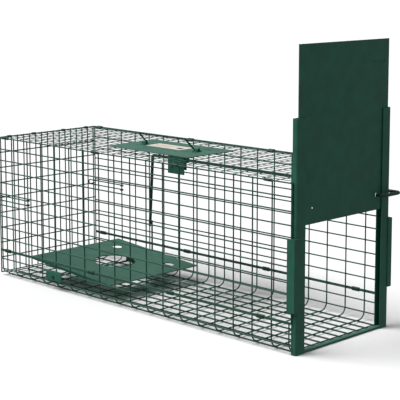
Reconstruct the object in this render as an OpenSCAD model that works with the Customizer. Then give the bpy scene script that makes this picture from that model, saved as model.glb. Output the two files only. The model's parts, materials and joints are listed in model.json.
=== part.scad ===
// Live catch trap: a welded-mesh cage with a drop door, a treadle, a side trigger rod,
// a hinged rear panel and a carrying bail. Millimetres, +Z up, +X out of the entrance.
// The origin is the middle of the front sill's underside, in the plane of the door rails.

/* [Cage] */
// Length of the side meshes, from the rear upright wires to the front ones
cage_length = 635; // [560:5:700]
// Width between the upright wires of the two sides
cage_width = 203; // [200:0.5:210]
// Height of the mesh body
cage_height = 232.9; // [228:0.1:240]
// Diameter of the mesh wire
wire_d = 2; // [1.8:0.1:2]
// Diameter of the wire inside the top mesh
top_wire_d = 1; // [0.8:0.1:1.8]
// Number of bays between uprights along a side mesh
bays = 18; // [18:1:22]
// Number of rows of openings in a side mesh
side_rows = 10; // [9:1:11]
// Number of openings along the top mesh
top_bays = 25; // [24:1:26]
// Number of openings across the top mesh and the rear panel
cross_cells = 16; // [12:2:18]
// Number of rows of openings in the rear panel
rear_rows = 9; // [7:1:10]
// Number of long wires under the floor
floor_wires = 10; // [8:1:12]
// Radius of the bend from the floor up to each side
floor_bend_r = 12; // [10:0.5:13]
// Height at which the floor mesh meets the side meshes
seam_z = 43.65; // [42:0.05:46]

/* [Door and rails] */
// Height of the drop door
door_height = 239.5; // [200:0.5:245]
// Width of the drop door
door_width = 191.4; // [180:0.1:195]
// Height of the door's lower edge when it is set
door_lift = 173.5; // [165:0.5:176]
// Thickness of the door sheet
door_t = 1.5; // [1:0.1:1.6]
// Height of the two door rails
rail_height = 316.5; // [280:0.5:330]
// Depth of a rail along the cage
rail_depth = 10; // [9.5:0.1:10]
// Width of a rail's flanges across the cage
rail_flange = 17.9; // [14:0.1:20]
// Height of the front sill
sill_height = 3; // [2:0.5:6]
// Height of the two plates that clamp the side meshes to the rails
clamp_height = 100; // [60:5:120]

/* [Treadle] */
// Length of the treadle plate along the cage
treadle_length = 195; // [140:1:195]
// Width of the treadle plate
treadle_width = 189; // [160:1:189]
// Downward slope of the set treadle towards the entrance, in degrees
treadle_slope = 4.5; // [3:0.1:4.5]
// Diameter of the treadle's middle hole
treadle_hole_d = 67; // [40:1:70]
// Diameter of the treadle's two small holes
treadle_small_d = 18; // [10:1:20]
// Diameter of the treadle's axle and crank wire
axle_d = 2.8; // [2.4:0.1:2.8]

/* [Trigger rod] */
// Diameter of the trigger rod
rod_d = 5; // [4:0.1:5]
// Height of the rod's long run
rod_z = 195; // [190:0.5:196]
// Drop of the rod's hanging leg
rod_leg = 123; // [115:1:130]

/* [Handle] */
// Length of the hand plate along the cage
plate_length = 181; // [170:1:200]
// Width of the hand plate
plate_width = 102.6; // [94:0.2:120]
// Distance between the bail's two legs
bail_width = 103; // [90:1:110]
// Length of a bail leg
bail_leg = 25.5; // [20:0.5:35]
// Lean of the bail from upright towards the near side, in degrees
bail_lean = 47; // [0:1:70]
// Diameter of the bail wire
bail_d = 2.6; // [2.2:0.1:3.4]

/* [Hidden] */
green = "#1f4a3c";
light_green = "#2c5d4f";
$fn = 32;

run_fit = 0.05;                 // radial clearance of a turning fit
wire_r = wire_d / 2;
lay = wire_d + 0.04;            // centre distance of two crossed wires
half_w = cage_width / 2;        // plane of the uprights
row_y = half_w + lay;           // plane of the long side wires
front_x = -2;                   // plane of the front uprights
rear_x = front_x - cage_length; // plane of the rear uprights
bay = cage_length / bays;
sheet_t = 1.2;                  // rails, saddles and hand plate
plate_t = 1.5;                  // flat plates riveted or clamped to the mesh

// floor and sides
floor_z = wire_r + lay;         // height of the cross wires of the floor
bend_z = floor_z + floor_bend_r;
floor_front_x = -rail_depth / 2 - wire_r - 0.1;
floor_pitch = 19.86;
bend_wire_a = 12;               // place of the long wire on the floor bend, in degrees
upstand_wire_z = 29.2;
edge_wire_z = seam_z - wire_r - 0.05;
first_row_z = seam_z + wire_r + 0.05;
last_row_z = cage_height - wire_r;
row_pitch = (last_row_z - first_row_z) / side_rows;

// top
top_half_w = half_w - 2.2;      // outermost long wires of the top mesh
top_length = cage_length - 4.5;
top_pitch = top_length / top_bays;
cross_z = cage_height - wire_r; // rear edge wire and the outermost long wires of the sides
top_cross_z = cage_height - top_wire_d / 2;     // thin cross wires lie over the long ones
top_long_z = top_cross_z - top_wire_d - 0.04;
long_z = cage_height - top_wire_d - wire_r - 0.04;

// clips
clip_wall = 1;
seam_bays = [0.5, 6.5, 11.5, 16.5];
top_clip_cells = [0.5, 9.5, 16.5, 23.5];

// rear panel
panel_row_x = rear_x - lay - 0.36;
panel_bar_x = panel_row_x - lay;
panel_low_z = 5.2;
panel_pitch = (cross_z - panel_low_z) / rear_rows;
panel_cell = cage_width / cross_cells;
hinge_cells = [1.5, 5.5, cross_cells - 5.5, cross_cells - 1.5];

// latches
latch_x = rear_x + 2 * bay;     // upright that a latch turns on
latch_y = half_w + 2.4;
latch_legs_z = [127.5, 135];
latch_end_x = rear_x - 20;

// rails and door
rail_back_y = half_w - wire_r - 0.1;    // outer face of a rail's web
rail_in_y = rail_back_y - rail_flange;
outer_y = row_y + wire_r + 0.1;         // inner face of the plates outside the mesh
clamp_z = 58.5;
door_front_x = 3;
catch_y = 72;                           // door hole under the rod's tip, from the middle
small_hole_y = 66.5;                    // small door hole on the near side, from the middle
catch_gap = 0.3;                        // between the rod's tip and the door
catch_z = rod_z;
groove_z = door_lift + door_height - 30.5;

// treadle
axle_x = rear_x + 138.2;
axle_z = 21;
treadle_back = 71.4;                    // plate behind the axle
treadle_top = 15.9;                     // top of the plate over the axle, square to it
treadle_lip = 3;
bracket_y = 60;
crank_top_z = 82;
bearing_length = 37.8;

// trigger rod
rod_y = half_w + 8.1;                   // plane of the rod's long run and the crank
leg_x = rear_x + 140.5;
foot_x = rear_x + 133.2;
arm_x = 16.5;
guide_x = rear_x + 189;
guide_length = 38;
guide_rivets_x = [guide_x + 9, guide_x + 32];
front_guide_x = rear_x + 570;
front_guide_length = 24;
front_rivets_x = [front_guide_x + 5, front_guide_x + 19];
rivet_z = rod_z - 10;
rivet_r = 1.6;

// hand plate and bail
plate_z = cage_height + 0.1;
plate_top = plate_z + sheet_t;
plate_x = rear_x + 298.5;               // middle of the plate and the bail
bail_z = plate_top + 3.4;
eye_length = 9;
eye_x = bail_width / 2 + 2;             // inner end of an eye, from the middle

// ---- bars and wires ----

module x_bar(x0, x1, y, z, d) translate([x0, y, z]) rotate([0, 90, 0]) cylinder(h = x1 - x0, d = d);

module y_bar(x, y0, y1, z, d) translate([x, y0, z]) rotate([-90, 0, 0]) cylinder(h = y1 - y0, d = d);

module z_bar(x, y, z0, z1, d) translate([x, y, z0]) cylinder(h = z1 - z0, d = d);

function unit(v) = v / norm(v);

// how far a bend of radius r shortens the straights that meet at corner c
function cut(a, c, b, r) = r * tan(90 - acos(unit(a - c) * unit(b - c)) / 2);

// straight bar from p to q
module straight(p, q, d) {
    v = q - p;
    translate(p) rotate([0, acos(v[2] / norm(v)), atan2(v[1], v[0])]) cylinder(h = norm(v), d = d);
}

// round bend of centreline radius r at corner c, between the directions of a and b
module bend(a, c, b, r, d) {
    u = unit(a - c);
    w = unit(b - c);
    turn = 180 - acos(u * w);
    t = cut(a, c, b, r);
    o = c + unit(u + w) * r / cos(turn / 2);
    i = unit(c + u * t - o);
    k = unit(cross(i, c + w * t - o));
    j = cross(k, i);
    multmatrix([[i[0], j[0], k[0], o[0]], [i[1], j[1], k[1], o[1]], [i[2], j[2], k[2], o[2]], [0, 0, 0, 1]])
        rotate_extrude(angle = turn) translate([r, 0]) circle(d = d);
}

// wire of diameter d through the points p, bent to radius r at every inner corner
module bent_wire(p, r, d) {
    last = len(p) - 1;
    for (n = [0 : last - 1]) {
        along = unit(p[n + 1] - p[n]);
        start = n == 0 ? 0 : cut(p[n - 1], p[n], p[n + 1], r);
        stop = n == last - 1 ? 0 : cut(p[n], p[n + 1], p[n + 2], r);
        straight(p[n] + along * start, p[n + 1] - along * stop, d);
    }
    for (n = [1 : last - 1]) bend(p[n - 1], p[n], p[n + 1], r, d);
}

// ---- mesh panels ----

module floor_mesh() color(green) {
    for (k = [0 : bays]) {
        x = min(rear_x + k * bay, floor_front_x);
        bent_wire([[x, -half_w, seam_z], [x, -half_w, floor_z], [x, half_w, floor_z], [x, half_w, seam_z]],
                  floor_bend_r, wire_d);
    }
    for (k = [0 : floor_wires - 1])
        x_bar(rear_x - wire_r, floor_front_x + wire_r,
              (k - (floor_wires - 1) / 2) * floor_pitch, wire_r, wire_d);
    for (side = [-1, 1]) {
        wrap = floor_bend_r + lay;
        bend_y = half_w - floor_bend_r + wrap * cos(bend_wire_a);
        x_bar(rear_x - wire_r, front_x, side * bend_y, bend_z - wrap * sin(bend_wire_a), wire_d);
        for (z = [upstand_wire_z, edge_wire_z]) x_bar(rear_x - wire_r, front_x, side * row_y, z, wire_d);
    }
}

module wall_mesh() {
    for (k = [0 : bays]) z_bar(rear_x + k * bay, half_w, seam_z + 0.15, cage_height, wire_d);
    for (k = [0 : side_rows])
        x_bar(rear_x - wire_r, front_x + wire_r, row_y, first_row_z + k * row_pitch, wire_d);
}

module near_wall_mesh() color(green) mirror([0, 1, 0]) wall_mesh();

module far_wall_mesh() color(green) wall_mesh();

module top_mesh() color(green) {
    long_x = rear_x + wire_r + 0.04;
    y_bar(rear_x, -top_half_w - wire_r, top_half_w + wire_r, cross_z, wire_d);
    for (k = [1 : top_bays])
        y_bar(rear_x + k * top_pitch, -top_half_w - wire_r, top_half_w + wire_r, top_cross_z, top_wire_d);
    for (k = [1 : cross_cells - 1])
        x_bar(long_x, rear_x + top_length + wire_r,
              top_half_w * (2 * k / cross_cells - 1), top_long_z, top_wire_d);
    for (side = [-1, 1])
        x_bar(long_x, rear_x + top_length + wire_r, side * top_half_w, long_z, wire_d);
}

// ---- crimped clips ----

// sheet folded round two parallel wires along X, one on the axis and one at [y, z]
module clip(y, z, length, bore_d) {
    reach = norm([y, z]);
    outer = bore_d + 2 * clip_wall;
    rotate([atan2(z, y), 0, 0]) difference() {
        union() {
            for (s = [0, reach]) x_bar(-length / 2, length / 2, s, 0, outer);
            translate([-length / 2, 0, -outer / 2]) cube([length, reach, outer]);
        }
        for (s = [0, reach]) x_bar(-length, length, s, 0, bore_d);
    }
}

module top_clips()
    for (c = top_clip_cells) translate([rear_x + c * top_pitch, row_y, cross_z])
        clip(top_half_w - row_y, long_z - cross_z, 11, wire_d + 0.06);

module seam_clips()
    for (b = seam_bays) translate([rear_x + b * bay, row_y, edge_wire_z])
        clip(0, first_row_z - edge_wire_z, 12.5, wire_d + 0.06);

module near_top_clips() color(green) mirror([0, 1, 0]) top_clips();

module far_top_clips() color(green) top_clips();

module near_seam_clips() color(green) mirror([0, 1, 0]) seam_clips();

module far_seam_clips() color(green) seam_clips();

// ---- rails, sill and door ----

module round_rect(x0, y0, x1, y1, r) {
    translate([x0 + r, y0]) square([x1 - x0 - 2 * r, y1 - y0]);
    translate([x0, y0 + r]) square([x1 - x0, y1 - y0 - 2 * r]);
    for (x = [x0 + r, x1 - r], y = [y0 + r, y1 - r]) translate([x, y]) circle(r = r);
}

// channel open towards the middle of the cage, with rounded corners at its web
module rail() {
    edge = rail_depth / 2;
    linear_extrude(rail_height) difference() {
        round_rect(-edge, rail_in_y - 6, edge, rail_back_y, 3);
        round_rect(-edge + sheet_t, rail_in_y - 10, edge - sheet_t, rail_back_y - sheet_t, 1.8);
        translate([-rail_depth, rail_in_y - 12]) square([2 * rail_depth, 12]);
    }
}

module near_rail() color(green) mirror([0, 1, 0]) rail();

module far_rail() color(green) rail();

// plate outside the mesh with a lip over the front of the rail
module rail_clamp() {
    lip_x = rail_depth / 2 + 0.1;
    translate([-7, outer_y, clamp_z]) cube([7 + lip_x + sheet_t, plate_t, clamp_height]);
    translate([lip_x, half_w - 4.5, clamp_z]) cube([sheet_t, outer_y + plate_t - half_w + 4.5, clamp_height]);
}

module near_rail_clamp() color(light_green) mirror([0, 1, 0]) rail_clamp();

module far_rail_clamp() color(light_green) rail_clamp();

// flat bar whose ends stand in the two channels
module front_sill() color(green) {
    sill_x = rail_depth / 2 - sheet_t - 0.1;
    sill_y = rail_back_y - sheet_t - 2;
    translate([-sill_x, -sill_y, 0]) cube([2 * sill_x, 2 * sill_y, sill_height]);
}

// flat bar with round ends through the sheet, from y0 to y1
module groove(x, y0, y1, z, r, h) {
    for (y = [y0, y1]) x_bar(x, x + h, y, z, 2 * r);
    translate([x, y0, z - r]) cube([h, y1 - y0, 2 * r]);
}

module door_plate() color(green) {
    back_x = door_front_x - door_t;
    difference() {
        union() {
            translate([back_x, -door_width / 2, door_lift]) cube([door_t, door_width, door_height]);
            groove(back_x - 0.6, 56.5, 85.5, groove_z, 2.4, 1.2);
        }
        groove(door_front_x - 0.7, 56.5, 85.5, groove_z, 1.5, 1);
        x_bar(back_x - 1, door_front_x + 1, -small_hole_y, catch_z, 3);
        x_bar(back_x - 1, door_front_x + 1, catch_y, catch_z, rod_d + 0.2);
    }
}

// ---- hand plate and bail ----

module hand_plate() color(light_green) {
    rib_drop = 2.2;
    slot_w = 3.5;
    slot_x = eye_x + 7;
    difference() {
        union() {
            translate([plate_x - plate_length / 2, -plate_width / 2, plate_z])
                cube([plate_length, plate_width, sheet_t]);
            for (side = [-1, 1]) intersection() {
                y_bar(plate_x + side * bail_width / 2, 5, 42, plate_top - rib_drop, 6);
                translate([plate_x - bail_width, 0, plate_z + 0.2]) cube([2 * bail_width, 60, 4]);
            }
        }
        for (s = [[-slot_x, -13], [slot_x, 24]]) translate([plate_x + s[0], s[1], plate_z - 1]) {
            for (shift = [-2.75, 2.75]) translate([shift, 0, 0]) cylinder(h = 4, d = slot_w);
            translate([-2.75, -slot_w / 2, 0]) cube([5.5, slot_w, 4]);
        }
    }
}

module bail_eyes() color(green)
    for (side = [0, 1]) translate([plate_x, 0, 0]) mirror([side, 0, 0]) difference() {
        union() {
            x_bar(eye_x, eye_x + eye_length, 0, bail_z, bail_d + 2.7);
            translate([eye_x, -6, plate_top + 0.02]) cube([eye_length, 12, 1.2]);
            translate([eye_x, -2.6, plate_top + 0.02]) cube([eye_length, 5.2, bail_z - plate_top]);
        }
        x_bar(eye_x - 2, eye_x + eye_length + 2, 0, bail_z, bail_d + 2 * run_fit);
    }

module handle_bail() color(green) {
    side_x = bail_width / 2;
    end_x = eye_x + eye_length + 1.5;
    translate([plate_x, 0, bail_z]) rotate([bail_lean, 0, 0])
        bent_wire([[-end_x, 0, 0], [-side_x, 0, 0], [-side_x, 0, bail_leg],
                   [side_x, 0, bail_leg], [side_x, 0, 0], [end_x, 0, 0]], 1.9, bail_d);
}

module label() color("#efe6da")
    translate([plate_x - 46.5, -8, plate_top + 0.02]) cube([75, 30, 0.35]);

// ---- treadle ----

module axle_bearing() difference() {
    translate([axle_x - 17.7, outer_y, axle_z - 6]) cube([bearing_length, plate_t, 14]);
    y_bar(axle_x, outer_y - 2, outer_y + 4, axle_z, axle_d + 2 * run_fit);
}

module near_axle_bearing() color(light_green) mirror([0, 1, 0]) axle_bearing();

module far_axle_bearing() color(light_green) axle_bearing();

module treadle_plate() color(light_green)
    translate([axle_x, 0, axle_z]) rotate([0, treadle_slope, 0]) difference() {
        union() {
            translate([-treadle_back, -treadle_width / 2, treadle_top - plate_t])
                cube([treadle_length, treadle_width, plate_t]);
            for (side = [0, 1]) mirror([0, side, 0])
                translate([-treadle_back + 2, treadle_width / 2 - plate_t,
                           treadle_top - plate_t - treadle_lip])
                    cube([treadle_length - 10, plate_t, treadle_lip + 0.5]);
        }
        translate([27, 0, 0]) cylinder(h = 30, d = treadle_hole_d);
        for (u = [-34, treadle_length - 103]) translate([u, bracket_y, 0])
            cylinder(h = 30, d = treadle_small_d);
        for (u = [63, 68]) translate([u, -77.5, 0]) cylinder(h = 30, d = 4);
        translate([63, -79.5, 0]) cube([5, 4, 30]);
    }

module treadle_brackets() color(green)
    for (side = [-1, 1]) translate([axle_x, side * bracket_y, axle_z]) difference() {
        rotate([0, treadle_slope, 0]) {
            translate([-11, -0.75, -3.5]) cube([22, 1.5, treadle_top - plate_t + 3.48]);
            translate([-11, -6, treadle_top - plate_t - 1.52]) cube([22, 12, 1.5]);
        }
        y_bar(0, -3, 3, 0, axle_d + 0.04);
    }

// the axle, with a head at its near end and turned up outside the far side as the crank
module treadle_axle() color(green) {
    head_y = -outer_y - plate_t - 1.4;
    bent_wire([[axle_x, head_y, axle_z], [axle_x, rod_y, axle_z], [axle_x, rod_y, crank_top_z]], 3, axle_d);
    y_bar(axle_x, head_y, head_y + 1.2, axle_z, 5.2);
}

// ---- trigger rod and its guides ----

module trigger_rod() color(green) {
    knee = [leg_x, rod_y, rod_z - 9];
    bent_wire([knee, [leg_x, rod_y, rod_z], [arm_x, rod_y, rod_z],
               [arm_x, catch_y, rod_z], [door_front_x + catch_gap, catch_y, rod_z]], 6, rod_d);
    straight([foot_x, rod_y, rod_z - rod_leg], knee, rod_d);
    translate(knee) sphere(d = rod_d + 0.1);
}

// sheet inside the mesh that backs a rod guide
module guide_back(x, length, z0, z1, rivets) difference() {
    translate([x, rail_back_y - plate_t, z0]) cube([length, plate_t, z1 - z0]);
    for (r = rivets) y_bar(r, rail_back_y - 4, rail_back_y + 2, rivet_z, 2 * rivet_r + 0.1);
}

// sheet outside the mesh, rolled into a barrel that the rod turns in
module guide_front(x, length, rivets) difference() {
    union() {
        translate([x, outer_y, rod_z - 16]) cube([length, sheet_t, 21]);
        x_bar(x, x + length, rod_y, rod_z, rod_d + 3);
    }
    x_bar(x - 2, x + length + 2, rod_y, rod_z, rod_d + 2 * run_fit);
    for (r = rivets) y_bar(r, outer_y - 2, outer_y + 4, rivet_z, 2 * rivet_r + 0.1);
}

module trigger_guide_plate() color(light_green)
    guide_back(guide_x, guide_length, rod_z - 23.5, rod_z + 9.5, guide_rivets_x);

module trigger_guide_saddle() color(light_green) guide_front(guide_x, guide_length, guide_rivets_x);

module front_rod_guide() color(light_green) {
    guide_back(front_guide_x, front_guide_length, rod_z - 16, rod_z + 5, front_rivets_x);
    guide_front(front_guide_x, front_guide_length, front_rivets_x);
}

module guide_rivets() color(green) {
    in_y = rail_back_y - plate_t - 0.02;
    out_y = outer_y + sheet_t + 0.02;
    for (x = concat(guide_rivets_x, front_rivets_x)) {
        y_bar(x, in_y, out_y, rivet_z, 2 * rivet_r);
        y_bar(x, in_y - 0.9, in_y, rivet_z, 6);
        y_bar(x, out_y, out_y + 0.9, rivet_z, 6);
    }
}

// ---- rear panel and its latches ----

module rear_door_mesh() color(green) {
    for (k = [0 : cross_cells])
        z_bar(panel_bar_x, -half_w + k * panel_cell, panel_low_z - wire_r, cross_z + wire_r, wire_d);
    for (k = [0 : rear_rows])
        y_bar(panel_row_x, -half_w - wire_r, half_w + wire_r, panel_low_z + k * panel_pitch, wire_d);
}

module rear_hinge_clips() color(green)
    for (c = hinge_cells) translate([rear_x, -half_w + c * panel_cell, cross_z])
        rotate([0, 0, 90]) clip(rear_x - panel_row_x, 0, 6, wire_d + 2 * run_fit);

// closed hairpin: an eye at the end of each leg, and a loop behind the corner of the cage
module latch() {
    rise = latch_legs_z[1] - latch_legs_z[0];
    bent_wire([[latch_x, latch_y, latch_legs_z[0]], [latch_end_x, latch_y, latch_legs_z[0]],
               [latch_end_x, latch_y, latch_legs_z[1]], [latch_x, latch_y, latch_legs_z[1]]],
              rise / 2 - 0.25, wire_d);
    for (z = latch_legs_z) difference() {
        z_bar(latch_x, half_w, z - 1.2, z + 1.2, wire_d + 4);
        z_bar(latch_x, half_w, z - 3, z + 3, wire_d + 2 * run_fit);
    }
}

module near_latch() color(green) mirror([0, 1, 0]) latch();

module far_latch() color(green) latch();

floor_mesh();
near_wall_mesh();
far_wall_mesh();
top_mesh();
near_top_clips();
far_top_clips();
near_seam_clips();
far_seam_clips();
near_rail();
far_rail();
near_rail_clamp();
far_rail_clamp();
front_sill();
hand_plate();
bail_eyes();
label();
near_axle_bearing();
far_axle_bearing();
trigger_guide_plate();
trigger_guide_saddle();
front_rod_guide();
guide_rivets();
rear_door_mesh();
rear_hinge_clips();
near_latch();
far_latch();
door_plate();
trigger_rod();
treadle_plate();
treadle_brackets();
treadle_axle();
handle_bail();
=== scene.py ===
"""Looks of a live catch trap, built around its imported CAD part.

It is laid out as a Blender add-on and run as a script.
"""

import json
import math

import bmesh
import bpy
from mathutils import Matrix, Vector


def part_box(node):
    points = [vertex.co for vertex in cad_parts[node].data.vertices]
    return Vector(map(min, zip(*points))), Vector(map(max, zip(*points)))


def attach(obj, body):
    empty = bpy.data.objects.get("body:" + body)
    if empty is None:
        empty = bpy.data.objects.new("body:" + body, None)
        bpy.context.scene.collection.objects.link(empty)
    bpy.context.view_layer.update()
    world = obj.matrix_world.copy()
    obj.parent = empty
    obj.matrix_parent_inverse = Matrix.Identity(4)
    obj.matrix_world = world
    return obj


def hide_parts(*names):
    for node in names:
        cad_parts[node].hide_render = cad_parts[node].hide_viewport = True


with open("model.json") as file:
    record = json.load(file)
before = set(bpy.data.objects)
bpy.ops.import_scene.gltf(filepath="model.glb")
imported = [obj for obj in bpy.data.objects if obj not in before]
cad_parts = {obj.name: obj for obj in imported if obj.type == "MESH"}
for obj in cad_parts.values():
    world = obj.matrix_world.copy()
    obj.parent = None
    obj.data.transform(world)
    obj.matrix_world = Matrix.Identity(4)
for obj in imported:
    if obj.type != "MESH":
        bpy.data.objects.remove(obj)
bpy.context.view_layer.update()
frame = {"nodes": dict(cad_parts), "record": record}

bl_info = {
    "name": "Live Catch Trap",
    "version": (1, 0, 0),
    "blender": (4, 5, 0),
    "location": "3D View > Sidebar > Catch Trap",
    "description": "Builds the painted wire, sheet and rods of a live catch trap",
    "category": "Object",
}

MM = 0.001
FULL = 2 * math.pi
WIRE_R = 1.0 * MM
TOP_R = 0.5 * MM                 # radius of the thin wires inside the top mesh
WELD_GAP = 0.04 * MM             # hairline between two crossed wires
LAYER = 2 * WIRE_R + WELD_GAP    # centre distance of two crossed wires
UPRIGHT_Y = 101.5 * MM           # plane of the uprights, from the middle
FRONT_UPRIGHT_X = -2 * MM
FRONT_HOOP_X = -6.1 * MM         # the front floor wire stands back behind the door rails
FLOOR_Z = WIRE_R + LAYER         # height of the cross wires of the floor
FLOOR_BEND = 12 * MM
FLOOR_WIRES = 10
FLOOR_PITCH = 19.86 * MM
UPSTAND_ROWS_Z = (29.2 * MM, 42.6 * MM)
FIRST_ROW_Z = 44.7 * MM          # lowest long wire of a side mesh
SIDE_BAYS = 18
SIDE_ROWS = 10
TOP_BAYS = 25
CROSS_CELLS = 16
REAR_ROWS = 9
CLIP_EDGE = 0.2 * MM
LABEL_EDGE = 0.08 * MM
CAMERA_AT = (1.07385, -1.35046, 0.51441)
CAMERA_YAW, CAMERA_PITCH = 2.34847, 0.13633
CAMERA_SHIFT = (-0.02102, -0.15)
LIGHT_WAY = Vector((0.3, 0.4, -0.86))
UP = Vector((0, 0, 1))
NODES = frame["nodes"]
BODY_OF = {n: b for b, ns in frame["record"]["behaviour"]["bodies"].items() for n in ns}
SLOT_OF = {s["node"]: s["material_slot"] for s in frame["record"]["subparts"]}


class TrapSizes(bpy.types.PropertyGroup):
    """Sizes that a user may change."""

    wire_sides: bpy.props.IntProperty(
        name="Wire sides", description="Sides of a mesh wire", default=10, min=6, max=24)
    nugget: bpy.props.FloatProperty(
        name="Weld nugget", description="Radius of the weld where two wires cross",
        default=0.75 * MM, min=0.5 * MM, max=1.5 * MM, unit="LENGTH")
    edge: bpy.props.FloatProperty(
        name="Sheet edge", description="Rounding of the edges of the coated sheet",
        default=0.28 * MM, min=0.05 * MM, max=0.5 * MM, unit="LENGTH")
    lens: bpy.props.FloatProperty(
        name="Lens", description="Focal length of the camera, in millimetres",
        default=115.183, min=20, max=300)


class TrapColours(bpy.types.PropertyGroup):
    """Colours that a user may change."""

    sheet: bpy.props.FloatVectorProperty(
        name="Sheet", description="Powder coat on the plates, rails and door",
        subtype="COLOR", size=3, min=0, max=1, default=(0.022, 0.137, 0.091))
    wire: bpy.props.FloatVectorProperty(
        name="Wire", description="Powder coat on the mesh wire",
        subtype="COLOR", size=3, min=0, max=1, default=(0.015, 0.090, 0.060))
    # this darker rod coat is also laid on the top and seam clips, where it is painted shade
    rod: bpy.props.FloatVectorProperty(
        name="Rods", description="Powder coat on the rods and the bail",
        subtype="COLOR", size=3, min=0, max=1, default=(0.009, 0.054, 0.036))
    paper: bpy.props.FloatVectorProperty(
        name="Label", description="Ground of the label",
        subtype="COLOR", size=3, min=0, max=1, default=(0.86, 0.82, 0.74))


# ---- materials ----


def node(tree, kind, **sockets):
    """A new shader node with its inputs set by name, or linked where the value is a socket."""
    made = tree.nodes.new(kind)
    for name, value in sockets.items():
        target = made.inputs[name.replace("_", " ")] if name.replace("_", " ") in made.inputs \
            else made.inputs[int(name[1:])]
        if isinstance(value, bpy.types.NodeSocket):
            tree.links.new(value, target)
        else:
            target.default_value = value
    return made


def ramp(tree, source, stops):
    """A colour ramp over a factor: stops are (place, (r, g, b))."""
    made = node(tree, "ShaderNodeValToRGB", Fac=source)
    elements = made.color_ramp.elements
    while len(elements) < len(stops):
        elements.new(0.5)
    for element, (place, colour) in zip(elements, stops):
        element.position = place
        element.color = (*colour, 1)
    return made.outputs["Color"]


def shade(colour, by):
    return tuple(min(1.0, c * by) for c in colour)


def math_node(tree, operation, first, second=0.5):
    made = node(tree, "ShaderNodeMath", _0=first, _1=second)
    made.operation = operation
    return made.outputs[0]


def spread(tree, value, low, high, to_low=0.0, to_high=1.0):
    """A value's range low to high, mapped to the range to_low to to_high."""
    made = node(tree, "ShaderNodeMapRange", Value=value)
    ends = {"From Min": low, "From Max": high, "To Min": to_low, "To Max": to_high}
    for name, number in ends.items():
        made.inputs[name].default_value = number
    return made.outputs["Result"]


def blend(tree, factor, below, above, mode="MIX"):
    """A colour mix. Each input is a socket to link or a value to set."""
    made = tree.nodes.new("ShaderNodeMix")
    made.data_type = "RGBA"
    made.blend_type = mode
    for slot, value in ((0, factor), (6, below), (7, above)):
        if isinstance(value, bpy.types.NodeSocket):
            tree.links.new(value, made.inputs[slot])
        else:
            made.inputs[slot].default_value = value
    return made.outputs[2]


def powder_coat(name, colour, roughness, peel=0.10, worn=0.5):
    """Powder coat with orange peel and faint mottling.

    Thin dust lies on what faces up, and small chips show at rubbed spots.
    """
    if name in bpy.data.materials:
        return bpy.data.materials[name]
    material = bpy.data.materials.new(name)
    material.use_nodes = True
    tree = material.node_tree
    shader = tree.nodes["Principled BSDF"]
    place = tree.nodes.new("ShaderNodeTexCoord").outputs["Object"]
    mottle = node(tree, "ShaderNodeTexNoise", Vector=place, Scale=46.0, Detail=5.0, Roughness=0.62)
    broad = node(tree, "ShaderNodeTexNoise", Vector=place, Scale=9.0, Detail=3.0, Roughness=0.5)
    body = ramp(tree, mottle.outputs["Fac"],
                [(0.30, shade(colour, 0.80)), (0.72, shade(colour, 1.16))])
    patch = ramp(tree, broad.outputs["Fac"], [(0.34, (0.86, 0.90, 0.88)), (0.68, (1.0, 1.0, 1.0))])
    mixed = blend(tree, 1.0, body, patch, "MULTIPLY")
    # dust lies on faces that look up
    normal = tree.nodes.new("ShaderNodeNewGeometry").outputs["Normal"]
    up = node(tree, "ShaderNodeSeparateXYZ", Vector=normal).outputs["Z"]
    dust = node(tree, "ShaderNodeTexNoise", Vector=place, Scale=70.0, Detail=6.0, Roughness=0.7)
    dusty = math_node(tree, "MULTIPLY", spread(tree, up, 0.35, 1.0, 0.0, 0.30), dust.outputs["Fac"])
    dusted = blend(tree, dusty, mixed, (0.26, 0.34, 0.30, 1))
    # small specks where the coat is chipped down to the primer
    speck = node(tree, "ShaderNodeTexVoronoi", Vector=place, Scale=210.0)
    rarity = node(tree, "ShaderNodeTexNoise", Vector=place, Scale=24.0, Detail=2.0)
    chips = math_node(tree, "MULTIPLY",
                      spread(tree, speck.outputs["Distance"], 0.055, 0.035, 0.0, worn),
                      spread(tree, rarity.outputs["Fac"], 0.56, 0.66))
    chipped = blend(tree, chips, dusted, (0.20, 0.22, 0.21, 1))
    tree.links.new(chipped, shader.inputs["Base Color"])
    rough = spread(tree, mottle.outputs["Fac"], 0.25, 0.75, roughness - 0.06, roughness + 0.10)
    tree.links.new(rough, shader.inputs["Roughness"])
    fine = node(tree, "ShaderNodeTexNoise", Vector=place, Scale=520.0, Detail=3.0, Roughness=0.5)
    bump = node(tree, "ShaderNodeBump", Height=fine.outputs["Fac"], Strength=peel, Distance=0.0004)
    tree.links.new(bump.outputs["Normal"], shader.inputs["Normal"])
    shader.inputs["Specular IOR Level"].default_value = 0.35
    return material


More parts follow.
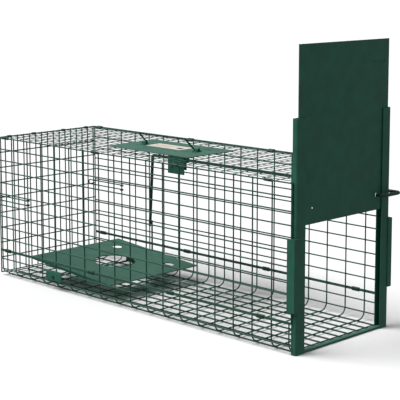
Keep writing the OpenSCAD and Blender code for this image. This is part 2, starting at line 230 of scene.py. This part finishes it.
def printed_label(name, ground, centre):
    """Pale film with a few plain bars; centre is the middle of the label."""
    material = bpy.data.materials.new(name)
    material.use_nodes = True
    tree = material.node_tree
    shader = tree.nodes["Principled BSDF"]
    place = tree.nodes.new("ShaderNodeTexCoord").outputs["Object"]
    moved = node(tree, "ShaderNodeMapping", Vector=place)
    moved.inputs["Location"].default_value = [-c for c in centre]
    split = node(tree, "ShaderNodeSeparateXYZ", Vector=moved.outputs["Vector"])

    def inside(x0, x1, y0, y1):
        """1 inside a box on the label, measured in millimetres from its middle."""
        tests = []
        for axis, low, high in (("X", x0, x1), ("Y", y0, y1)):
            offset = math_node(tree, "SUBTRACT", split.outputs[axis], (low + high) / 2 * MM)
            size = math_node(tree, "ABSOLUTE", offset)
            tests.append(math_node(tree, "LESS_THAN", size, (high - low) / 2 * MM))
        return math_node(tree, "MULTIPLY", *tests)

    fibre = node(tree, "ShaderNodeTexNoise", Vector=place, Scale=180.0, Detail=5.0)
    colour = ramp(tree, fibre.outputs["Fac"], [(0.3, shade(ground, 0.93)), (0.7, ground)])
    printed = [
        (inside(-33, 20, 1.2, 3.6), (0.30, 0.13, 0.07)),
        (inside(-33, 6, -4.2, -2.8), (0.42, 0.34, 0.28)),
        (inside(-33, 12, -8.0, -6.6), (0.42, 0.34, 0.28)),
        (inside(-33, 28, 9.0, 11.0), (0.66, 0.50, 0.36)),
        (inside(22, 32, -8.0, 2.0), (0.035, 0.03, 0.03)),
    ]
    for mask, ink in printed:
        colour = blend(tree, mask, colour, (*ink, 1))
    tree.links.new(colour, shader.inputs["Base Color"])
    shader.inputs["Roughness"].default_value = 0.42
    bump = node(tree, "ShaderNodeBump", Height=fibre.outputs["Fac"], Strength=0.08, Distance=0.0003)
    tree.links.new(bump.outputs["Normal"], shader.inputs["Normal"])
    return material


def coats():
    """The finish of each material slot in the record."""
    colours = bpy.context.scene.trap_colours
    return {
        "sheet": powder_coat("sheet_coat", tuple(colours.sheet), 0.50),
        "mesh_wire": powder_coat("wire_coat", tuple(colours.wire), 0.46, peel=0.06, worn=0.3),
        "rod": powder_coat("rod_coat", tuple(colours.rod), 0.40, peel=0.06),
    }


# ---- meshes ----


def publish(bm, name, cad_nodes, finish=None, sharp=35):
    """Turns a bmesh into a piece that rides on its CAD nodes' body and stands for them."""
    bmesh.ops.recalc_face_normals(bm, faces=bm.faces)
    mesh = bpy.data.meshes.new(name)
    bm.to_mesh(mesh)
    bm.free()
    mesh.shade_smooth()
    mesh.set_sharp_from_angle(angle=math.radians(sharp))
    piece = bpy.data.objects.new(name, mesh)
    bpy.context.scene.collection.objects.link(piece)
    slot = SLOT_OF[cad_nodes[0]]
    mesh.materials.append(finish or coats()[slot])
    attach(piece, BODY_OF[cad_nodes[0]])
    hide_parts(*cad_nodes)
    return piece


def add_to(whole, part):
    """Adds a small finished bmesh to the piece that it belongs to."""
    mesh = bpy.data.meshes.new("part")
    part.to_mesh(mesh)
    part.free()
    whole.from_mesh(mesh)
    bpy.data.meshes.remove(mesh)


def wire(whole, path, radius, bend=0.0, sides=None, steps=6):
    """A round wire through path.

    Its corners are bent to a centreline radius and its ends are rounded off.
    """
    bm = bmesh.new()
    sides = sides or bpy.context.scene.trap_sizes.wire_sides
    points = [Vector(p) for p in path]
    along = (points[1] - points[0]).normalized()
    turn = UP.rotation_difference(along).to_matrix().to_4x4()
    crown = radius * 0.35
    start = bmesh.ops.create_circle(
        bm, segments=sides, radius=radius * 0.72, cap_ends=True,
        matrix=Matrix.Translation(points[0]) @ turn)
    verts = start["verts"]
    ring = list({e for v in verts for e in v.link_edges})

    def push(ring, by, grow=1.0, about=None):
        out = bmesh.ops.extrude_edge_only(bm, edges=ring)["geom"]
        new = [g for g in out if isinstance(g, bmesh.types.BMVert)]
        bmesh.ops.translate(bm, verts=new, vec=by)
        if about is not None:
            bmesh.ops.scale(bm, verts=new, vec=(grow,) * 3, space=Matrix.Translation(-about))
        return [g for g in out if isinstance(g, bmesh.types.BMEdge)
                and all(v in new for v in g.verts)]

    here = points[0] + along * crown
    ring = push(ring, along * crown, 1 / 0.72, here)
    for k in range(1, len(points)):
        along = (points[k] - points[k - 1]).normalized()
        last = k == len(points) - 1
        if last:
            stop = points[k] - along * crown
            ring = push(ring, stop - here)
            ring = push(ring, along * crown, 0.72, points[k])
        else:
            following = (points[k + 1] - points[k]).normalized()
            angle = along.angle(following)
            back = bend * math.tan(angle / 2)
            stop = points[k] - along * back
            if (stop - here).length > 1e-7:
                ring = push(ring, stop - here)
            axis = along.cross(following).normalized()
            centre = stop + axis.cross(along) * bend
            out = bmesh.ops.spin(bm, geom=ring, cent=centre, axis=axis, angle=angle,
                                 steps=steps, use_duplicate=False)["geom_last"]
            ring = [g for g in out if isinstance(g, bmesh.types.BMEdge)]
            here = points[k] + following * back
    bmesh.ops.edgeloop_fill(bm, edges=ring)
    add_to(whole, bm)


def nugget(whole, place, normal, radius=None):
    """The weld between two crossed wires, flat along the normal."""
    radius = radius or bpy.context.scene.trap_sizes.nugget
    turn = UP.rotation_difference(Vector(normal)).to_matrix().to_4x4()
    squash = Matrix.Diagonal((1.15, 1.15, 0.62, 1))
    bm = bmesh.new()
    bmesh.ops.create_uvsphere(bm, u_segments=8, v_segments=5, radius=radius,
                              matrix=Matrix.Translation(place) @ turn @ squash)
    add_to(whole, bm)


def steps(low, high, count):
    """count + 1 even places from low to high."""
    return [low + (high - low) * k / count for k in range(count + 1)]


def softened(name, cad_node, width=None, segments=2, finish=None, angle=28):
    """A merged copy of a CAD sheet node with its edges rounded as a coat leaves them."""
    bm = bmesh.new()
    bm.from_mesh(NODES[cad_node].data)
    bmesh.ops.remove_doubles(bm, verts=bm.verts, dist=1e-6)
    bmesh.ops.dissolve_limit(bm, angle_limit=math.radians(0.6), verts=bm.verts, edges=bm.edges)
    width = width or bpy.context.scene.trap_sizes.edge
    edges = [e for e in bm.edges if len(e.link_faces) == 2
             and e.calc_face_angle(0) > math.radians(angle)]
    bmesh.ops.bevel(bm, geom=edges, offset=width, offset_type="OFFSET", segments=segments,
                    profile=0.5, affect="EDGES", clamp_overlap=True, material=-1)
    piece = publish(bm, name, [cad_node], finish, sharp=50)
    weights = piece.modifiers.new("even_normals", "WEIGHTED_NORMAL")
    weights.keep_sharp = True
    return piece


# ---- pieces ----


class TRAP_OT_floor(bpy.types.Operator):
    """Bent floor mesh with its turned-up sides"""

    bl_idname = "trap.floor"
    bl_label = "Floor Mesh"

    def execute(self, context):
        low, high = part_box("floor_mesh")
        bm = bmesh.new()
        hoops = [min(x, FRONT_HOOP_X)
                 for x in steps(low.x + WIRE_R, FRONT_UPRIGHT_X, SIDE_BAYS)]
        for x in hoops:
            wire(bm, [(x, -UPRIGHT_Y, high.z), (x, -UPRIGHT_Y, FLOOR_Z), (x, UPRIGHT_Y, FLOOR_Z),
                      (x, UPRIGHT_Y, high.z)], WIRE_R, FLOOR_BEND)
        for k in range(FLOOR_WIRES):
            y = (k - (FLOOR_WIRES - 1) / 2) * FLOOR_PITCH
            wire(bm, [(low.x, y, WIRE_R), (FRONT_HOOP_X + WIRE_R, y, WIRE_R)], WIRE_R)
            for x in hoops:
                nugget(bm, (x, y, WIRE_R + LAYER / 2), UP)
        wrap = FLOOR_BEND + LAYER
        lean = math.radians(12)
        rows = [(UPRIGHT_Y - FLOOR_BEND + wrap * math.cos(lean),
                 FLOOR_Z + FLOOR_BEND - wrap * math.sin(lean), lean)]
        rows += [(UPRIGHT_Y + LAYER, z, 0) for z in UPSTAND_ROWS_Z]
        for side in (-1, 1):
            for y, z, dip in rows:
                wire(bm, [(low.x, side * y, z), (FRONT_UPRIGHT_X, side * y, z)], WIRE_R)
                normal = Vector((0, side * math.cos(dip), -math.sin(dip)))
                for x in hoops[:-1]:
                    nugget(bm, Vector((x, side * y, z)) - normal * LAYER / 2, normal)
        publish(bm, "floor_wires", ["floor_mesh"])
        return {"FINISHED"}


class TRAP_OT_walls(bpy.types.Operator):
    """Side meshes, with their uprights inside their long wires"""

    bl_idname = "trap.walls"
    bl_label = "Side Meshes"

    def execute(self, context):
        for side, name in ((-1, "near"), (1, "far")):
            low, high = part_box(f"{name}_wall_mesh")
            bm = bmesh.new()
            y = side * UPRIGHT_Y
            row_y = y + side * LAYER
            uprights = steps(low.x + WIRE_R, high.x - WIRE_R, SIDE_BAYS)
            rows = steps(FIRST_ROW_Z, high.z - WIRE_R, SIDE_ROWS)
            for x in uprights:
                wire(bm, [(x, y, low.z), (x, y, high.z)], WIRE_R)
            for z in rows:
                wire(bm, [(low.x, row_y, z), (high.x, row_y, z)], WIRE_R)
                for x in uprights:
                    nugget(bm, (x, (y + row_y) / 2, z), (0, side, 0))
            publish(bm, f"{name}_side_wires", [f"{name}_wall_mesh"])
        return {"FINISHED"}


class TRAP_OT_top(bpy.types.Operator):
    """Top mesh: thin wires, with thick ones along its two sides and its rear edge"""

    bl_idname = "trap.top"
    bl_label = "Top Mesh"

    def execute(self, context):
        low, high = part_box("top_mesh")
        bm = bmesh.new()
        cross_z = high.z - TOP_R
        edge_z = low.z + WIRE_R
        inner_z = cross_z - 2 * TOP_R - WELD_GAP
        butt_x = low.x + 2 * WIRE_R + WELD_GAP
        rear, *across = steps(low.x + WIRE_R, high.x - WIRE_R, TOP_BAYS)
        rows = steps(low.y + WIRE_R, high.y - WIRE_R, CROSS_CELLS)
        rear_z = high.z - WIRE_R
        wire(bm, [(rear, low.y, rear_z), (rear, high.y, rear_z)], WIRE_R)
        for x in across:
            wire(bm, [(x, low.y, cross_z), (x, high.y, cross_z)], TOP_R)
        for y in rows:
            edge = y in (rows[0], rows[-1])
            long_z, radius = (edge_z, WIRE_R) if edge else (inner_z, TOP_R)
            wire(bm, [(butt_x, y, long_z), (high.x, y, long_z)], radius)
            for x in across:
                nugget(bm, (x, y, cross_z - TOP_R), UP, 0.8 * TOP_R)
        publish(bm, "top_wires", ["top_mesh"])
        return {"FINISHED"}


class TRAP_OT_rear(bpy.types.Operator):
    """Rear panel that swings on the last cross wire of the top"""

    bl_idname = "trap.rear"
    bl_label = "Rear Panel"

    def execute(self, context):
        low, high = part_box("rear_door_mesh")
        bm = bmesh.new()
        bar_x = low.x + WIRE_R
        row_x = high.x - WIRE_R
        bars = steps(low.y + WIRE_R, high.y - WIRE_R, CROSS_CELLS)
        for z in steps(low.z + WIRE_R, high.z - WIRE_R, REAR_ROWS):
            wire(bm, [(row_x, low.y, z), (row_x, high.y, z)], WIRE_R)
            for y in bars:
                nugget(bm, ((bar_x + row_x) / 2, y, z), (1, 0, 0))
        for y in bars:
            wire(bm, [(bar_x, y, low.z), (bar_x, y, high.z)], WIRE_R)
        publish(bm, "rear_panel_wires", ["rear_door_mesh"])
        softened("rear_hinge_sleeves", "rear_hinge_clips", CLIP_EDGE, finish=coats()["rod"])
        return {"FINISHED"}


class TRAP_OT_clips(bpy.types.Operator):
    """Crimped clips that join the side meshes to the top and the floor"""

    bl_idname = "trap.clips"
    bl_label = "Clips"

    def execute(self, context):
        for side in ("near", "far"):
            for place in ("top", "seam"):
                # painted shade: the clips take the darker rod coat, which stands in for the shade
                # they sit in
                softened(f"{side}_{place}_crimps", f"{side}_{place}_clips", CLIP_EDGE,
                         finish=coats()["rod"])
        return {"FINISHED"}


class TRAP_OT_front(bpy.types.Operator):
    """Rails, clamp plates, sill and the drop door"""

    bl_idname = "trap.front"
    bl_label = "Door and Rails"

    def execute(self, context):
        for side in ("near", "far"):
            softened(f"{side}_rail_channel", f"{side}_rail")
            softened(f"{side}_clamp_plate", f"{side}_rail_clamp")
        softened("sill_bar", "front_sill")
        softened("drop_door", "door_plate")
        return {"FINISHED"}


class TRAP_OT_handle(bpy.types.Operator):
    """Hand plate, bail eyes and the bail"""

    bl_idname = "trap.handle"
    bl_label = "Handle"

    def execute(self, context):
        softened("hand_plate_sheet", "hand_plate")
        softened("bail_straps", "bail_eyes")
        NODES["handle_bail"].data.materials.clear()
        NODES["handle_bail"].data.materials.append(coats()["rod"])
        return {"FINISHED"}


class TRAP_OT_label(bpy.types.Operator):
    """Plain printed label on the hand plate"""

    bl_idname = "trap.label"
    bl_label = "Label"

    def execute(self, context):
        low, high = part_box("label")
        ground = tuple(context.scene.trap_colours.paper)
        softened("printed_label", "label", LABEL_EDGE,
                 finish=printed_label("label_film", ground, (low + high) / 2))
        return {"FINISHED"}


class TRAP_OT_treadle(bpy.types.Operator):
    """Treadle plate, its brackets, axle and bearings"""

    bl_idname = "trap.treadle"
    bl_label = "Treadle"

    def execute(self, context):
        softened("treadle_sheet", "treadle_plate")
        softened("treadle_ears", "treadle_brackets")
        for side in ("near", "far"):
            softened(f"{side}_bearing_plate", f"{side}_axle_bearing")
        NODES["treadle_axle"].data.materials.clear()
        NODES["treadle_axle"].data.materials.append(coats()["rod"])
        return {"FINISHED"}


class TRAP_OT_trigger(bpy.types.Operator):
    """Trigger rod with its guides and rivets"""

    bl_idname = "trap.trigger"
    bl_label = "Trigger"

    def execute(self, context):
        softened("rod_guide_plate", "trigger_guide_plate")
        softened("rod_guide_saddle", "trigger_guide_saddle")
        softened("front_guide_sheet", "front_rod_guide")
        softened("guide_rivet_heads", "guide_rivets")
        NODES["trigger_rod"].data.materials.clear()
        NODES["trigger_rod"].data.materials.append(coats()["rod"])
        return {"FINISHED"}


class TRAP_OT_latches(bpy.types.Operator):
    """Hairpin latches beside the rear panel"""

    bl_idname = "trap.latches"
    bl_label = "Latches"

    def execute(self, context):
        for side in ("near", "far"):
            latch = NODES[f"{side}_latch"]
            latch.data.materials.clear()
            latch.data.materials.append(coats()["mesh_wire"])
        return {"FINISHED"}


class TRAP_OT_stage(bpy.types.Operator):
    """Pale floor, one soft light and the camera"""

    bl_idname = "trap.stage"
    bl_label = "Stage"

    def execute(self, context):
        scene = context.scene
        bm = bmesh.new()
        bmesh.ops.create_grid(bm, x_segments=1, y_segments=1, size=40)
        mesh = bpy.data.meshes.new("pale_floor")
        bm.to_mesh(mesh)
        bm.free()
        floor = bpy.data.objects.new("pale_floor", mesh)
        floor.location = (0, 0, -0.0004)
        scene.collection.objects.link(floor)
        pale = bpy.data.materials.new("pale_floor")
        pale.use_nodes = True
        shader = pale.node_tree.nodes["Principled BSDF"]
        shader.inputs["Base Color"].default_value = (0.92, 0.92, 0.92, 1)
        shader.inputs["Roughness"].default_value = 0.9
        mesh.materials.append(pale)
        world = bpy.data.worlds.new("studio")
        scene.world = world
        scene.view_settings.view_transform = "Standard"
        world.use_nodes = True
        ground = world.node_tree.nodes["Background"]
        ground.inputs["Color"].default_value = (1, 1, 1, 1)
        seen = world.node_tree.nodes.new("ShaderNodeLightPath").outputs["Is Camera Ray"]
        strength = spread(world.node_tree, seen, 0.0, 1.0, 0.30, 1.0)
        world.node_tree.links.new(strength, ground.inputs["Strength"])
        floor.visible_diffuse = False
        floor.visible_glossy = False
        light = bpy.data.lights.new("soft_key", "SUN")
        light.energy = 3.2
        light.angle = math.radians(40)
        lamp = bpy.data.objects.new("soft_key", light)
        lamp.rotation_euler = LIGHT_WAY.to_track_quat("-Z", "Y").to_euler()
        scene.collection.objects.link(lamp)
        camera = bpy.data.objects.new("camera", bpy.data.cameras.new("camera"))
        camera.data.lens = scene.trap_sizes.lens
        camera.data.clip_start = 0.05
        camera.data.clip_end = 100
        camera.data.shift_x, camera.data.shift_y = CAMERA_SHIFT
        camera.location = CAMERA_AT
        level = math.cos(CAMERA_PITCH)
        look = Vector((math.cos(CAMERA_YAW) * level, math.sin(CAMERA_YAW) * level,
                       -math.sin(CAMERA_PITCH)))
        camera.rotation_euler = look.to_track_quat("-Z", "Y").to_euler()
        scene.collection.objects.link(camera)
        scene.camera = camera
        return {"FINISHED"}


PIECES = (TRAP_OT_floor, TRAP_OT_walls, TRAP_OT_top, TRAP_OT_rear, TRAP_OT_clips, TRAP_OT_front,
          TRAP_OT_handle, TRAP_OT_label, TRAP_OT_treadle, TRAP_OT_trigger, TRAP_OT_latches,
          TRAP_OT_stage)


class TRAP_PT_panel(bpy.types.Panel):
    """Sidebar panel that lists the sizes, colours and pieces"""

    bl_idname = "TRAP_PT_panel"
    bl_label = "Catch Trap"
    bl_space_type = "VIEW_3D"
    bl_region_type = "UI"
    bl_category = "Catch Trap"

    def draw(self, context):
        for group in (context.scene.trap_sizes, context.scene.trap_colours):
            for name in group.bl_rna.properties.keys():
                if name not in ("rna_type", "name"):
                    self.layout.prop(group, name)
        for piece in PIECES:
            self.layout.operator(piece.bl_idname)


CLASSES = (TrapSizes, TrapColours, *PIECES, TRAP_PT_panel)


def register():
    for c in CLASSES:
        bpy.utils.register_class(c)
    bpy.types.Scene.trap_sizes = bpy.props.PointerProperty(type=TrapSizes)
    bpy.types.Scene.trap_colours = bpy.props.PointerProperty(type=TrapColours)


def unregister():
    del bpy.types.Scene.trap_colours
    del bpy.types.Scene.trap_sizes
    for c in reversed(CLASSES):
        bpy.utils.unregister_class(c)


def main():
    register()
    for piece in PIECES:
        getattr(bpy.ops.trap, piece.bl_idname.split(".")[1])()


if __name__ == "__main__":
    main()
